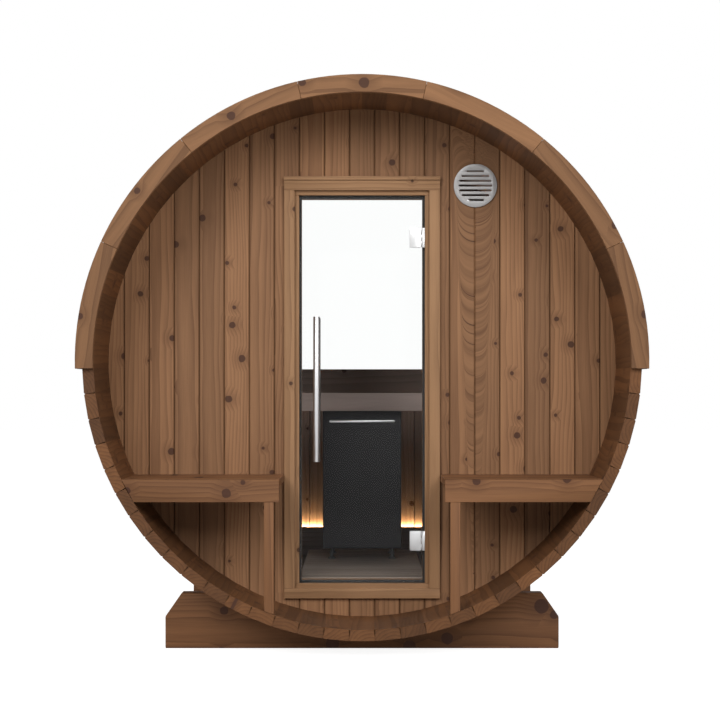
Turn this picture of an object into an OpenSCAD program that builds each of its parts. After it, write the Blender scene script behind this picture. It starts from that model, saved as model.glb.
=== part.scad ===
// Barrel sauna cabin: a ring of staves on two cradles, with a porch, a glass
// door, a half-moon rear window, a duckboard floor and a heater inside.
//
// All lengths are in millimetres. X runs to the right as one faces the door,
// Y runs from the porch to the rear window and Z points up. The origin lies on
// the ground, under the middle of the barrel.

/* [Barrel] */
// Inner radius of the ring of staves
barrel_r = 1003; // [800:1:1250]
// Thickness of a stave
stave_t = 42; // [28:1:50]
// Length of a stave
stave_len = 2130; // [1700:1:2700]
// Number of staves in the lowest segment of the ring
bottom_staves = 7; // [7]
// Number of staves in each of the six side segments
side_staves = 10; // [10]
// Depth of the groove in the staves that holds the end walls
groove_d = 8; // [5:1:15]

/* [Cradles] */
// Wood left between the ground and the lowest stave
cradle_under = 73.5; // [50:0.5:120]
// Width of a cradle across the barrel
cradle_w = 1540; // [1250:1:1650]
// Height of a cradle
cradle_h = 216; // [160:1:260]
// Thickness of a cradle along the barrel
cradle_t = 88; // [60:1:120]
// Width of the sloping corner of a cradle
cradle_slope_w = 63; // [30:1:100]
// Height of the sloping corner of a cradle
cradle_slope_h = 91; // [50:1:120]
// Distance from the end of the staves to the outer face of a cradle
cradle_end = 360; // [240:1:480]

/* [Roof trim] */
// How far the arched fascia stands out beyond the staves
fascia_over = 25; // [20:1:60]
// Thickness of a fascia board
fascia_t = 28; // [20:1:40]
// How far fascia and roofing reach below the middle of the barrel
fascia_drop = 28; // [0:1:80]
// Thickness of the roofing laid over the upper half of the staves
roofing_t = 12; // [8:1:18]
// Width of a steel hoop
hoop_w = 40; // [20:1:60]
// Thickness of a steel hoop
hoop_t = 2; // [1:0.5:3]
// Distance from the end of the staves to the middle of an outer hoop
hoop_end = 165; // [100:1:200]

/* [End walls] */
// Thickness of the boards of both end walls
wall_t = 42; // [28:1:50]
// Depth of the porch in front of the front wall
porch_d = 452; // [350:1:600]
// How far the rear wall stands in from the end of the staves
rear_inset = 60; // [40:1:120]
// Height of the horizontal board under the rear window
rear_board_h = 112; // [80:1:160]
// How far the rear window's lower edge lies below the middle of the barrel
rear_window_drop = 10.5; // [0:0.5:60]
// Visible width of the curved frame round the rear window
rear_frame_w = 60; // [40:1:100]
// Overlap of that frame on the rear pane
rear_rebate = 12; // [8:1:20]
// Thickness of the rear pane
rear_glass_t = 8; // [6:1:12]

/* [Doorway] */
// Clear width between the door jambs
door_w = 498; // [450:1:600]
// Height of the lower edge of the doorway above the ground
door_z0 = 245; // [225:1:320]
// Clear height of the doorway between sill and head
door_h = 1538; // [1280:1:1600]
// Thickness of the jambs, head and sill
frame_t = 36; // [28:1:45]
// How far the frame stands in behind the face of the front wall
frame_d = 83; // [70:1:110]
// Width of the door stop on the jambs
stop_side = 9; // [6:1:14]
// Width of the door stop on the head and the sill
stop_end = 12.5; // [8:0.5:18]
// Visible width of the casing boards
casing_w = 42; // [35:1:60]
// Thickness of the casing boards
casing_t = 20; // [14:1:28]
// Width of jamb that the side casings leave bare
casing_reveal = 17; // [8:1:20]
// Height of the head and the sill that their casings leave bare
end_reveal = 18; // [8:1:22]
// Height of the casing boards over and under the doorway
end_casing_h = 40; // [32:1:60]
// Height of the drip cap on the head casing
cap_h = 14; // [10:1:20]
// How far the drip cap stands out from the head casing
cap_out = 10; // [5:1:20]

/* [Door] */
// Thickness of the door pane
glass_t = 8; // [6:1:12]
// Depth of the door pane's face behind the face of the front wall
glass_set = 13; // [10:1:18]
// Gap between the pane and the frame at the top, the bottom and the free side
pane_gap = 5; // [5:0.5:8]
// Gap between the pane and the frame on the hinge side
hinge_side_gap = 10; // [10:0.5:12]
// Thickness of the black seal on the stop
seal_t = 4; // [2:0.5:6]
// Gap between the closed pane and the seal
seal_gap = 6; // [5.5:0.5:9]
// Diameter of the handle bars
handle_bar = 26; // [20:1:32]
// Length of the handle bars
handle_len = 571; // [400:1:700]
// Distance from the jamb to the middle line of the handle
handle_in = 70; // [60:1:120]
// Distance from the pane to the middle line of a handle bar
handle_out = 65; // [45:1:75]
// Distance between the two posts of a handle bar
handle_posts = 420; // [250:1:480]
// Diameter of the handle's posts
post_d = 16; // [10:1:20]

/* [Hinges] */
// Height of a hinge leaf
hinge_h = 77; // [60:1:100]
// Width of the leaf on the pane
leaf_w = 43; // [35:1:60]
// Width of the gap between the two leaves
leaf_gap = 5; // [4.5:0.5:7]
// Thickness of the outer plate on the pane
plate_t = 8; // [8:0.5:10]
// Thickness of the inner plate behind the pane
back_plate_t = 6; // [4:0.5:8]
// Distance from the head or the sill to the middle of a hinge
hinge_in = 168; // [100:1:260]

/* [Vent] */
// Diameter of the vent grille
vent_d = 171; // [168:1:200]
// Thickness of the vent grille
vent_t = 10; // [6:1:16]
// Diameter of the duct through the front wall
duct_d = 150; // [100:1:155]
// Gap between the door casing and the grille
vent_gap = 55; // [20:1:120]
// Height of the middle of the vent above the doorway
vent_over_door = 37; // [-60:1:60]
// Number of slots in the grille
vent_slots = 7; // [5:2:9]
// Distance between two slots
slot_pitch = 19; // [15:1:22]
// Height of a slot
slot_h = 8; // [5:1:10]
// Radius of the circle that the ends of the slots follow
slot_r = 66.5; // [60:0.5:75]

/* [Porch benches] */
// Height of the seat above the ground
bench_z = 677; // [560:1:760]
// Height of the bench's front board
bench_front_h = 85; // [60:1:110]
// Thickness of the bench boards
bench_t = 28; // [20:1:40]
// Gap between the door casing and the end of a bench
bench_gap = 2; // [1:1:60]
// Distance from the end of a bench to its leg
leg_inset = 20; // [0:1:60]
// Width and depth of a leg
leg_size = 37; // [28:1:60]

/* [Floor] */
// Height of the duckboard's face above the ground
floor_z = 262; // [240:1:320]
// Width of the duckboard
floor_w = 500; // [400:1:520]
// Width of a slat
slat_w = 90; // [60:1:90]
// Least gap between two slats
slat_gap = 8; // [5:1:15]
// Thickness of a slat
slat_t = 24; // [18:1:30]
// Gap between the door frame and the first slat
floor_gap = 5; // [3:1:20]
// Distance from the middle of the floor to the outer runners
runner_x = 190; // [120:1:190]
// Width of a runner
runner_w = 45; // [30:1:60]

/* [Rear ledge] */
// Height of the ledge above the ground
ledge_z = 363; // [320:1:420]
// Depth of the ledge in front of the rear wall
ledge_d = 111; // [80:1:140]
// Thickness of the ledge's boards
ledge_t = 28; // [20:1:35]
// Width of the slot between the ledge and the rear wall
light_gap = 25; // [20:1:35]
// Length of the light strip
light_len = 1100; // [800:1:1150]
// Width and height of the light strip
light_size = 12; // [8:1:18]

/* [Heater] */
// Width of the heater
heater_w = 348; // [280:1:400]
// Depth of the heater
heater_d = 340; // [260:1:380]
// Height of the heater's cabinet
heater_h = 608; // [500:1:640]
// Height of the heater's feet
foot_h = 47; // [30:1:60]
// Distance from the middle of the heater to a foot
foot_x = 134; // [100:1:135]
// Distance from the face of the ledge to the back of the heater
heater_back_gap = 185; // [100:1:220]
// Wall round the heater's bed of stones
stone_wall = 14; // [8:1:20]
// Depth of the bed of stones
stone_bed_d = 60; // [40:1:90]
// Height of the stones above the cabinet
stone_heap = 55; // [30:1:60]
// Length of the bright bar on the heater's face
trim_len = 290; // [200:1:300]
// Height of that bar
trim_h = 10; // [6:1:16]
// How far that bar stands out
trim_out = 8; // [4:1:12]
// Distance from the top of the cabinet down to that bar
trim_drop = 45; // [30:1:70]
// Height of the top of the guard rail above the ground
guard_z = 997; // [985:1:1060]
// Height of the guard rail
guard_h = 79; // [60:1:85]
// Thickness of the guard rail
guard_t = 28; // [20:1:35]
// Distance between the outer faces of the guard's two sides
guard_w = 600; // [520:1:700]
// Gap between the guard rail and the face of the heater
guard_gap = 42; // [25:1:80]

/* [Hidden] */
$fn = 128;

// Clearance between curved faces that rest on each other
fit_gap = 0.3;
seam = 0.05;
// Clearance between a hinge pin and its knuckle
pin_gap = 0.05;
// Clearance round the cut tools, so that no face is left behind
over = 1;

// Ring of staves
stave_count = bottom_staves + 6 * side_staves;
stave_angle = 360 / stave_count;
bottom_angle = bottom_staves * stave_angle;
side_angle = side_staves * stave_angle;
outer_r = barrel_r + stave_t;
hoop_r = outer_r + fit_gap + hoop_t;
fascia_r = outer_r + fascia_over;
axis_z = cradle_under + outer_r;

// Places along the barrel
stave_y0 = -stave_len / 2;
stave_y1 = stave_len / 2;
wall_y0 = stave_y0 + porch_d;
wall_y1 = wall_y0 + wall_t;
rear_y1 = stave_y1 - rear_inset;
rear_y0 = rear_y1 - wall_t;
wall_r = barrel_r + groove_d - fit_gap;
cradle_inset = stave_y1 - cradle_end - cradle_t;
hoop_pitch = stave_y1 - hoop_end;

// Doorway and frame
door_half = door_w / 2;
door_z1 = door_z0 + door_h;
hole_half = door_half + frame_t;
hole_z0 = door_z0 - frame_t;
hole_z1 = door_z1 + frame_t;
casing_y0 = wall_y0 - casing_t;
casing_in = door_half + casing_reveal;
casing_x = casing_in + casing_w;
head_casing_z = door_z1 + end_reveal;
head_casing_top = head_casing_z + end_casing_h;
sill_casing_z = door_z0 - end_reveal;
bench_x = casing_x + bench_gap;
vent_x = casing_x + vent_gap + vent_d / 2;
vent_z = door_z1 + vent_over_door;
glass_y0 = wall_y0 + glass_set;
glass_y1 = glass_y0 + glass_t;
seal_y0 = glass_y1 + seal_gap;
stop_y0 = seal_y0 + seal_t;
stop_half = door_half - stop_side;
frame_y1 = wall_y0 + frame_d;

// Handle
handle_x = door_half - handle_in;
handle_z = (door_z0 + door_z1) / 2;

// Hinges
lower_hinge_z = door_z0 + hinge_in;
upper_hinge_z = door_z1 - hinge_in;
fixed_leaf_x = door_half - 12;
pivot_x = fixed_leaf_x - leaf_gap / 2;
pivot_y = glass_y0 - plate_t / 2;
leaf_x1 = pivot_x - leaf_gap / 2;
leaf_x0 = leaf_x1 - leaf_w;
knuckle_r = 3.5;
knuckle_room = 0.5;
pin_r = 1.5;
knuckle_h = hinge_h / 3;
fixed_leaf_y0 = pivot_y - 1;
fixed_leaf_y1 = glass_y0 - 1;

// Floor, ledge and heater
floor_y0 = frame_y1 + floor_gap;
ledge_y0 = rear_y0 - ledge_d;
floor_y1 = ledge_y0 - 2;
slats = floor((floor_y1 - floor_y0 + slat_gap) / (slat_w + slat_gap));
slat_pitch = (floor_y1 - floor_y0 - slat_w) / (slats - 1);
ledge_y1 = rear_y0 - light_gap;
heater_y1 = ledge_y0 - heater_back_gap;
heater_y0 = heater_y1 - heater_d;
heater_z0 = floor_z + foot_h;
heater_z1 = heater_z0 + heater_h;
foot_inset = 24;
guard_y0 = heater_y0 - guard_gap - guard_t;
window_z = axis_z - rear_window_drop;
pane_r = barrel_r - rear_frame_w + rear_rebate;

// ---- Shapes shared by several pieces ----

// A block between two opposite corners
module block(low, high) {
    translate(low) cube(high - low);
}

// A solid rod round the barrel's axis, between two places along it
module barrel_rod(radius, y0, y1) {
    translate([0, y1, axis_z]) rotate([90, 0, 0]) cylinder(r = radius, h = y1 - y0);
}

// A tube round the barrel's axis
module barrel_tube(inner, outer, y0, y1) {
    difference() {
        barrel_rod(outer, y0, y1);
        barrel_rod(inner, y0 - over, y1 + over);
    }
}

// The part of a block that lies within a radius of the barrel's axis
module block_in_barrel(low, high, radius) {
    intersection() {
        block(low, high);
        barrel_rod(radius, low[1] - over, high[1] + over);
    }
}

// A piece of the ring of staves, between two angles counted up from +X,
// with the two grooves that hold the end walls
module stave_segment(from_angle, angle) {
    groove_r = barrel_r + groove_d;
    profile = [
        [barrel_r, -stave_y0 - seam], [outer_r, -stave_y0 - seam],
        [outer_r, -stave_y1 + seam], [barrel_r, -stave_y1 + seam],
        [barrel_r, -rear_y1 - fit_gap], [groove_r, -rear_y1 - fit_gap],
        [groove_r, -rear_y0 + fit_gap], [barrel_r, -rear_y0 + fit_gap],
        [barrel_r, -wall_y1 - fit_gap], [groove_r, -wall_y1 - fit_gap],
        [groove_r, -wall_y0 + fit_gap], [barrel_r, -wall_y0 + fit_gap]
    ];
    seam_angle = seam / barrel_r * 180 / PI;
    translate([0, 0, axis_z]) rotate([90, 0, 0]) rotate([0, 0, from_angle + seam_angle / 2])
        rotate_extrude(angle = angle - seam_angle) polygon(profile);
}

// One of the side segments: 0 lies next to the bottom segment, 2 ends at the top
module right_staves(index) {
    stave_segment(-90 + bottom_angle / 2 + index * side_angle, side_angle);
}

// The same segment on the left
module left_staves(index) {
    stave_segment(-90 - bottom_angle / 2 - (index + 1) * side_angle, side_angle);
}

// Everything below the ends of the fascia
module below_fascia() {
    block([-2 * outer_r, 2 * stave_y0, -over], [2 * outer_r, 2 * stave_y1, axis_z - fascia_drop]);
}

// ---- Barrel ----

module staves_bottom() {
    color("#7a5636") stave_segment(-90 - bottom_angle / 2, bottom_angle);
}

module cradle(y0) {
    half = cradle_w / 2;
    outline = [
        [-half, 0], [half, 0], [half, cradle_h - cradle_slope_h],
        [half - cradle_slope_w, cradle_h], [cradle_slope_w - half, cradle_h],
        [-half, cradle_h - cradle_slope_h]
    ];
    difference() {
        translate([0, y0 + cradle_t, 0]) rotate([90, 0, 0]) linear_extrude(cradle_t) polygon(outline);
        barrel_rod(outer_r + fit_gap, y0 - over, y0 + cradle_t + over);
    }
}

module hoops() {
    color("silver") for (side = [-1, 0, 1]) {
        y0 = side * hoop_pitch - hoop_w / 2;
        barrel_tube(outer_r + fit_gap, hoop_r, y0, y0 + hoop_w);
    }
}

module roofing() {
    color("#2b2a2c") difference() {
        barrel_tube(outer_r + fit_gap, outer_r + roofing_t, stave_y0, stave_y1);
        below_fascia();
        for (side = [-1, 0, 1]) {
            y0 = side * hoop_pitch - hoop_w / 2 - fit_gap;
            barrel_rod(hoop_r + fit_gap, y0, y0 + hoop_w + 2 * fit_gap);
        }
    }
}

module fascia(y0) {
    difference() {
        barrel_tube(barrel_r, fascia_r, y0, y0 + fascia_t);
        below_fascia();
    }
}

// ---- Front wall ----

module front_wall_piece(x0, x1, z0, z1) {
    block_in_barrel([x0, wall_y0, z0], [x1, wall_y1, z1], wall_r);
}

module front_wall_left() {
    color("#83603f") front_wall_piece(-barrel_r - stave_t, -hole_half, 0, axis_z + outer_r);
}

module front_wall_right() {
    color("#83603f") difference() {
        front_wall_piece(hole_half, barrel_r + stave_t, 0, axis_z + outer_r);
        translate([vent_x, wall_y1 + over, vent_z]) rotate([90, 0, 0])
            cylinder(d = duct_d, h = wall_t + 2 * over);
    }
}

module front_wall_over_door() {
    color("#83603f") front_wall_piece(-hole_half, hole_half, hole_z1, axis_z + outer_r);
}

module front_wall_under_door() {
    color("#83603f") front_wall_piece(-hole_half, hole_half, 0, hole_z0);
}

module vent_grille() {
    color("gainsboro") translate([vent_x, wall_y0, vent_z]) rotate([90, 0, 0]) difference() {
        cylinder(d = vent_d, h = vent_t);
        for (row = [0 : vent_slots - 1]) {
            z = (row - (vent_slots - 1) / 2) * slot_pitch;
            half = sqrt(slot_r * slot_r - z * z) - slot_h / 2;
            translate([-half, z - slot_h / 2, -over]) cube([2 * half, slot_h, vent_t + 2 * over]);
            for (side = [-1, 1])
                translate([side * half, z, -over]) cylinder(d = slot_h, h = vent_t + 2 * over);
        }
    }
}

// ---- Door frame ----

module frame_jamb(side) {
    color("#9b7958") mirror([side < 0 ? 1 : 0, 0, 0]) {
        block([door_half, wall_y0, door_z0], [hole_half, frame_y1, door_z1]);
        block([stop_half, stop_y0, door_z0], [door_half + over, frame_y1, door_z1]);
    }
}

module frame_head() {
    color("#9b7958") {
        block([-hole_half, wall_y0, door_z1], [hole_half, frame_y1, hole_z1]);
        block([-stop_half, stop_y0, door_z1 - stop_end], [stop_half, frame_y1, door_z1 + over]);
    }
}

module frame_sill() {
    color("#9b7958") {
        block([-hole_half, wall_y0, hole_z0], [hole_half, frame_y1, door_z0]);
        block([-stop_half, stop_y0, door_z0 - over], [stop_half, frame_y1, door_z0 + stop_end]);
    }
}

module door_seal() {
    color("#141414") difference() {
        block([-door_half, seal_y0, door_z0], [door_half, stop_y0, door_z1]);
        block([-stop_half, seal_y0 - over, door_z0 + stop_end],
              [stop_half, stop_y0 + over, door_z1 - stop_end]);
    }
}

module casing_side(side) {
    color("#9b7958") mirror([side < 0 ? 1 : 0, 0, 0])
        block([casing_in, casing_y0, sill_casing_z], [casing_x, wall_y0, head_casing_z]);
}

module casing_head() {
    color("#9b7958") {
        block([-casing_x, casing_y0, head_casing_z], [casing_x, wall_y0, head_casing_top]);
        block([-casing_x - 1, casing_y0 - cap_out, head_casing_top],
              [casing_x + 1, wall_y0, head_casing_top + cap_h]);
    }
}

module casing_sill() {
    color("#9b7958") block([-casing_x, casing_y0, sill_casing_z - end_casing_h],
                           [casing_x, wall_y0, sill_casing_z]);
}

// ---- Hinges ----

// A knuckle or a pin on the hinge's axis
module on_pivot(radius, z0, height) {
    translate([pivot_x, pivot_y, z0]) cylinder(r = radius, h = height);
}

// The web that ties a knuckle to the edge of its leaf
module knuckle_web(x0, x1, z0) {
    web = knuckle_h - 2 * knuckle_room;
    block([x0, pivot_y - 1, z0 + knuckle_room], [x1, pivot_y + 2, z0 + knuckle_room + web]);
}

// The leaf on the jamb, with the middle knuckle and the pin
module fixed_leaf(z) {
    z0 = z - hinge_h / 2;
    leaf_low = [fixed_leaf_x, fixed_leaf_y0, z0];
    leaf_high = [door_half, fixed_leaf_y1, z0 + hinge_h];
    difference() {
        block(leaf_low, leaf_high);
        for (third = [0, 2])
            on_pivot(knuckle_r + knuckle_room, z0 + third * knuckle_h - over, knuckle_h + over);
    }
    on_pivot(knuckle_r, z0 + knuckle_h + knuckle_room, knuckle_h - 2 * knuckle_room);
    on_pivot(pin_r, z0, hinge_h);
    knuckle_web(pivot_x, fixed_leaf_x + 2, z0 + knuckle_h);
}

// The leaf on the pane: outer plate with the end knuckles, and inner plate
module moving_leaf(z) {
    z0 = z - hinge_h / 2;
    difference() {
        union() {
            difference() {
                block([leaf_x0, glass_y0 - plate_t, z0], [leaf_x1, glass_y0, z0 + hinge_h]);
                on_pivot(knuckle_r + knuckle_room, z0 + knuckle_h, knuckle_h);
            }
            for (third = [0, 2]) {
                on_pivot(knuckle_r, z0 + third * knuckle_h + knuckle_room, knuckle_h - 2 * knuckle_room);
                knuckle_web(leaf_x1 - 2, pivot_x, z0 + third * knuckle_h);
            }
        }
        on_pivot(pin_r + pin_gap, z0 - over, hinge_h + 2 * over);
    }
    block([leaf_x0, glass_y1, z0], [leaf_x1, glass_y1 + back_plate_t, z0 + hinge_h]);
}

module frame_hinge_leaves() {
    color("silver") {
        fixed_leaf(lower_hinge_z);
        fixed_leaf(upper_hinge_z);
    }
}

// ---- Door ----

module door_glass() {
    color("#a9b6b4") block([-door_half + pane_gap, glass_y0, door_z0 + pane_gap],
                           [door_half - hinge_side_gap, glass_y1, door_z1 - pane_gap]);
}

module door_hinge_leaves() {
    color("silver") {
        moving_leaf(lower_hinge_z);
        moving_leaf(upper_hinge_z);
    }
}

// A handle bar with its two posts, from a face of the pane towards direction
module handle_side(face_y, direction) {
    bar_y = face_y + direction * handle_out;
    translate([-handle_x, bar_y, handle_z - handle_len / 2]) cylinder(d = handle_bar, h = handle_len);
    for (side = [-1, 1])
        translate([-handle_x, max(face_y, bar_y), handle_z + side * handle_posts / 2])
            rotate([90, 0, 0]) cylinder(d = post_d, h = handle_out);
}

module door_handle() {
    color("silver") {
        handle_side(glass_y0, -1);
        handle_side(glass_y1, 1);
    }
}

// ---- Porch benches ----

module bench_seat(side) {
    seat_r = barrel_r - fit_gap;
    color("#7f5b42") mirror([side < 0 ? 1 : 0, 0, 0]) {
        block_in_barrel([bench_x, stave_y0, bench_z - bench_front_h],
                        [barrel_r, stave_y0 + bench_t, bench_z], seat_r);
        block_in_barrel([bench_x, stave_y0 + bench_t - over, bench_z - bench_t],
                        [barrel_r, wall_y0, bench_z], seat_r);
    }
}

module bench_leg(side) {
    x0 = bench_x + leg_inset;
    color("#7f5b42") mirror([side < 0 ? 1 : 0, 0, 0])
        block_in_barrel([x0, stave_y0, 0],
                        [x0 + leg_size, stave_y0 + bench_t, bench_z - bench_front_h],
                        barrel_r - fit_gap);
}

// ---- Rear wall and window ----

module rear_wall() {
    color("#5a4438") block_in_barrel([-outer_r, rear_y0, 0],
                                     [outer_r, rear_y1, window_z - rear_board_h], wall_r);
}

module rear_window_board() {
    color("#4e3c34") block_in_barrel([-outer_r, rear_y0, window_z - rear_board_h],
                                     [outer_r, rear_y1, window_z], wall_r);
}

module rear_window_arch() {
    glass_y = rear_y0 + wall_t / 2 - rear_glass_t / 2;
    color("#5a4438") difference() {
        barrel_tube(barrel_r - rear_frame_w, wall_r, rear_y0, rear_y1);
        barrel_rod(pane_r + fit_gap, glass_y, glass_y + rear_glass_t);
        block([-2 * outer_r, rear_y0 - over, -over], [2 * outer_r, rear_y1 + over, window_z]);
    }
}

module rear_window_glass() {
    glass_y = rear_y0 + wall_t / 2 - rear_glass_t / 2;
    color("#a9b6b4") block_in_barrel([-outer_r, glass_y, window_z],
                                     [outer_r, glass_y + rear_glass_t, axis_z + outer_r], pane_r);
}

// ---- Inside ----

module floor_duckboard() {
    foot_r = barrel_r - fit_gap;
    color("#6c5a52") {
        for (slat = [0 : slats - 1]) {
            y0 = floor_y0 + slat * slat_pitch;
            block([-floor_w / 2, y0, floor_z - slat_t], [floor_w / 2, y0 + slat_w, floor_z]);
        }
        for (x = [-runner_x, 0, runner_x])
            block_in_barrel([x - runner_w / 2, floor_y0, 0],
                            [x + runner_w / 2, floor_y1, floor_z - slat_t + over], foot_r);
    }
}

module rear_ledge() {
    ledge_r = barrel_r - fit_gap;
    color("#5a4438") {
        block_in_barrel([-barrel_r, ledge_y0, 0], [barrel_r, ledge_y0 + ledge_t, ledge_z], ledge_r);
        block_in_barrel([-barrel_r, ledge_y0 + ledge_t - over, ledge_z - ledge_t],
                        [barrel_r, ledge_y1, ledge_z], ledge_r);
    }
}

module light_strip() {
    z1 = ledge_z - light_size;
    color("#ffd9a0") block([-light_len / 2, rear_y0 - light_size, z1 - light_size],
                           [light_len / 2, rear_y0, z1]);
}

module heater_cabinet() {
    half = heater_w / 2;
    color("#262427") difference() {
        block([-half, heater_y0, heater_z0], [half, heater_y1, heater_z1]);
        block([stone_wall - half, heater_y0 + stone_wall, heater_z1 - stone_bed_d],
              [half - stone_wall, heater_y1 - stone_wall, heater_z1 + over]);
    }
}

module heater_stones() {
    half = heater_w / 2 - stone_wall;
    y0 = heater_y0 + stone_wall;
    y1 = heater_y1 - stone_wall;
    heap_in = 30;
    color("#6d6a68") {
        block([-half, y0, heater_z1 - stone_bed_d], [half, y1, heater_z1]);
        block([heap_in - half, y0 + heap_in, heater_z1 - over],
              [half - heap_in, y1 - heap_in, heater_z1 + stone_heap]);
    }
}

module heater_feet() {
    color("#8a8785") for (x = [-foot_x, foot_x])
        for (y = [heater_y0 + foot_inset, heater_y1 - foot_inset])
            translate([x, y, floor_z])
                rotate_extrude() polygon([[0, 0], [17, 0], [17, 4], [7, 14], [7, foot_h], [0, foot_h]]);
}

module heater_trim() {
    half = trim_len / 2 - trim_h / 2;
    color("silver") translate([0, heater_y0, heater_z1 - trim_drop]) rotate([90, 0, 0]) {
        translate([-half, -trim_h / 2, 0]) cube([2 * half, trim_h, trim_out]);
        for (side = [-1, 1]) translate([side * half, 0, 0]) cylinder(d = trim_h, h = trim_out);
    }
}

module heater_guard() {
    half = guard_w / 2;
    color("#6b5a55") {
        block([-half, guard_y0, guard_z - guard_h], [half, guard_y0 + guard_t, guard_z]);
        block([-half, guard_y0, guard_z - guard_h], [guard_t - half, rear_y0, guard_z]);
        block([half - guard_t, guard_y0, guard_z - guard_h], [half, rear_y0, guard_z]);
    }
}

staves_bottom();
color("#75522f") left_staves(0);  // staves_left_lower
color("#7a5636") left_staves(1);  // staves_left_middle
color("#75522f") left_staves(2);  // staves_left_upper
color("#75522f") right_staves(0);  // staves_right_lower
color("#7a5636") right_staves(1);  // staves_right_middle
color("#75522f") right_staves(2);  // staves_right_upper
color("#76543a") cradle(-cradle_inset - cradle_t);  // cradle_front
color("#76543a") cradle(cradle_inset);  // cradle_rear
hoops();
roofing();
color("#8a6648") fascia(stave_y0 - fascia_t);  // fascia_front
color("#8a6648") fascia(stave_y1);  // fascia_rear
front_wall_left();
front_wall_right();
front_wall_over_door();
front_wall_under_door();
frame_jamb(-1);  // frame_jamb_left
frame_jamb(1);  // frame_jamb_right
frame_head();
frame_sill();
door_seal();
casing_side(-1);  // casing_left
casing_side(1);  // casing_right
casing_head();
casing_sill();
frame_hinge_leaves();
vent_grille();
bench_seat(-1);  // bench_seat_left
bench_seat(1);  // bench_seat_right
bench_leg(-1);  // bench_leg_left
bench_leg(1);  // bench_leg_right
rear_wall();
rear_window_board();
rear_window_arch();
rear_window_glass();
floor_duckboard();
rear_ledge();
light_strip();
heater_cabinet();
heater_stones();
heater_feet();
heater_trim();
heater_guard();
door_glass();
door_hinge_leaves();
door_handle();
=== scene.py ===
"""Looks of the barrel sauna cabin: its boards, finishes, glass and heater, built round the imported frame."""

import logging
import math
import random
from dataclasses import dataclass
from enum import Enum

import bpy
import numpy as np
from mathutils import Matrix, Vector


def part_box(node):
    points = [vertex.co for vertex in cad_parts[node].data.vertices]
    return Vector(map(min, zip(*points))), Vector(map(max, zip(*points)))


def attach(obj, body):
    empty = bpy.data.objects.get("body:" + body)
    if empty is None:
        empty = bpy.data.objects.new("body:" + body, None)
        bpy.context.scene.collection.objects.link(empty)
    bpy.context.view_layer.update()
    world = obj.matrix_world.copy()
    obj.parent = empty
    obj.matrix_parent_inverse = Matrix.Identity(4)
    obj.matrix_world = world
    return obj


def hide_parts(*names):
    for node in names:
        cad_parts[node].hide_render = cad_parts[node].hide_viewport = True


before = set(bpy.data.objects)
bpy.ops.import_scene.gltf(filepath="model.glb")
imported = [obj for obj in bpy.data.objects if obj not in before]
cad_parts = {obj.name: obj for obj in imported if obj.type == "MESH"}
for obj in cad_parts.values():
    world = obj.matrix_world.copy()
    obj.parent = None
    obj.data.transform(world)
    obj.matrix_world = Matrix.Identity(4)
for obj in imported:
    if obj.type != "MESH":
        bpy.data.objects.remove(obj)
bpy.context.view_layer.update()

log = logging.getLogger("sauna")
logging.basicConfig(level=logging.INFO, format="%(message)s")

Colour = tuple[float, float, float]

# Tone of the painted shade at the bottom of the V-grooves between wall boards.
GROOVE_SHADE_TONE = -1.4


class Body(Enum):
    """The two bodies that pieces ride on."""

    CABIN = "cabin"
    DOOR = "door"


class Axis(Enum):
    """The directions that a board's grain may run in."""

    X = 0
    Y = 1
    Z = 2


# ---------------------------------------------------------------- modelling


def select_only(*pieces: bpy.types.Object) -> None:
    """Selects these pieces and nothing else, the first one active."""
    bpy.ops.object.select_all(action="DESELECT")
    for piece in pieces:
        piece.select_set(True)
    bpy.context.view_layer.objects.active = pieces[0]


def twin_of(piece: bpy.types.Object, name: str) -> bpy.types.Object:
    """Copies a piece with a mesh of its own.

    Args:
        piece: The piece to copy.
        name: The copy's name.

    Returns:
        The copy, in the scene and riding on nothing.
    """
    twin = piece.copy()
    twin.data = piece.data.copy()
    twin.name = name
    twin.parent = None
    for key in list(twin.keys()):
        del twin[key]
    bpy.context.scene.collection.objects.link(twin)
    return twin


def add_block(name: str, low: Vector, high: Vector) -> bpy.types.Object:
    """Adds a block between two corners, with its place in its mesh.

    Args:
        name: The block's name.
        low: Its lowest corner.
        high: Its highest corner.

    Returns:
        The block.
    """
    low, high = Vector(low), Vector(high)
    bpy.ops.object.select_all(action="DESELECT")
    bpy.ops.mesh.primitive_cube_add(size=1, location=(low + high) / 2)
    block = bpy.context.active_object
    block.name = name
    block.scale = high - low
    bpy.ops.object.transform_apply(location=True, rotation=False, scale=True)
    return block


def add_rod(name: str, radius: float, start: Vector, end: Vector, sides: int = 48) -> bpy.types.Object:
    """Adds a round rod between two points.

    Args:
        name: The rod's name.
        radius: Its radius.
        start: The middle of one end.
        end: The middle of the other end.
        sides: The number of sides.

    Returns:
        The rod.
    """
    start, end = Vector(start), Vector(end)
    bpy.ops.object.select_all(action="DESELECT")
    bpy.ops.mesh.primitive_cylinder_add(
        vertices=sides, radius=radius, depth=(end - start).length, location=(start + end) / 2
    )
    rod = bpy.context.active_object
    rod.name = name
    rod.rotation_euler = (end - start).to_track_quat("Z", "Y").to_euler()
    bpy.ops.object.transform_apply(location=True, rotation=True, scale=True)
    return rod


def finish_with(piece: bpy.types.Object, kind: str, **settings) -> None:
    """Adds a modifier of a kind with these settings and applies it."""
    select_only(piece)
    modifier = piece.modifiers.new(kind.lower(), kind)
    for key, value in settings.items():
        setattr(modifier, key, value)
    bpy.ops.object.modifier_apply(modifier=modifier.name)


def ease_edges(piece: bpy.types.Object, width: float, segments: int = 2) -> None:
    """Rounds every sharp edge of a piece and keeps its flat faces flat."""
    select_only(piece)
    bpy.ops.object.shade_smooth()
    settings = {"width": width, "segments": segments, "limit_method": "ANGLE", "angle_limit": 0.6}
    finish_with(piece, "BEVEL", harden_normals=True, **settings)


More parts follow.
